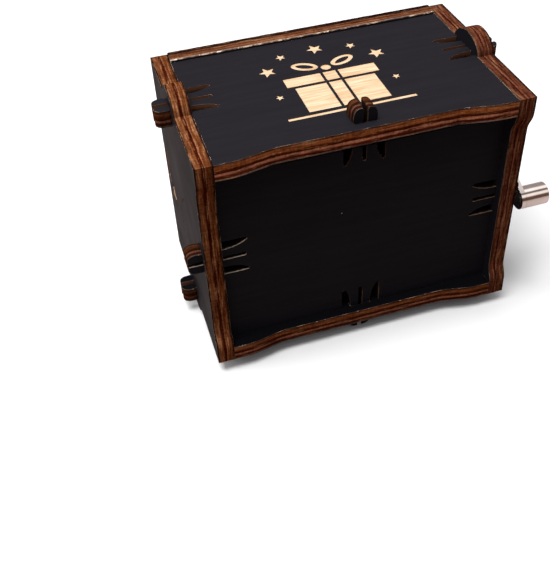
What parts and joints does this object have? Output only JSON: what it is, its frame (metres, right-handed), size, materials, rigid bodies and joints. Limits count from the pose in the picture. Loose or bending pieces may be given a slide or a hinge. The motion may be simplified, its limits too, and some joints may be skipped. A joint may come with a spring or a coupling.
{
  "type": "hand-cranked music box",
  "caption": "Small black plywood box with snap-together panels, a pinned-drum and comb movement inside and a metal crank on its right side.",
  "frame": {"origin": "middle of the case's underside, the bottom panel's outer face", "axes": "+X out of the side with the crank, -Y out of the side with the four corner feet, +Z out of the top panel"},
  "size_m": [0.0764, 0.04, 0.0559],
  "materials": {
    "painted_ply": "plywood painted charcoal black, with brown laser-cut edges",
    "zinc_casting": "bare zinc casting",
    "spring_steel": "ground spring steel",
    "screw_steel": "zinc-plated steel",
    "drum_brass": "bright brass",
    "bright_steel": "bright drawn steel",
    "nickel_plate": "satin nickel plate"
  },
  "bodies": {
    "case": {"left_panel": "painted_ply", "right_panel": "painted_ply", "bottom_panel": "painted_ply", "top_panel": "painted_ply", "front_panel": "painted_ply", "rear_panel": "painted_ply", "bedplate": "zinc_casting", "comb": "spring_steel", "comb_screw_1": "screw_steel", "comb_screw_2": "screw_steel", "comb_screw_3": "screw_steel", "bracket_screw_1": "screw_steel", "bracket_screw_2": "screw_steel", "movement_screw_1": "screw_steel", "movement_screw_2": "screw_steel", "movement_screw_3": "screw_steel", "drum_bush_upper": "drum_brass", "drum_bush_lower": "drum_brass", "shaft_bush_left": "drum_brass", "shaft_bush_right": "drum_brass", "shaft_bracket": "bright_steel"},
    "crank": {"crank_shaft": "nickel_plate", "worm": "drum_brass", "shaft_clip_left": "bright_steel", "shaft_clip_right": "bright_steel", "crank_arm": "nickel_plate", "knob_pin": "nickel_plate"},
    "knob": {"crank_knob": "nickel_plate"},
    "drum_group": {"drum": "drum_brass", "drum_cap_lower": "drum_brass", "drum_cap_upper": "drum_brass", "drum_arbor": "bright_steel", "worm_wheel": "drum_brass"}
  },
  "joints": [
    {"name": "crank_turn", "type": "hinge", "parent": "case", "child": "crank", "pos_m": [0.0355, 0.00485, 0.03], "axis": [1, 0, 0], "continuous": true},
    {"name": "knob_spin", "type": "hinge", "parent": "crank", "child": "knob", "pos_m": [0.03885, -0.01479, 0.02101], "axis": [1, 0, 0], "continuous": true},
    {"name": "drum_turn", "type": "hinge", "parent": "case", "child": "drum_group", "pos_m": [0.00719, -0.0034, 0.0174], "axis": [0, 0, 1], "continuous": true}
  ],
  "couplings": [
    {"joint": "drum_turn", "follows": "crank_turn", "ratio": 0.041667}
  ]
}
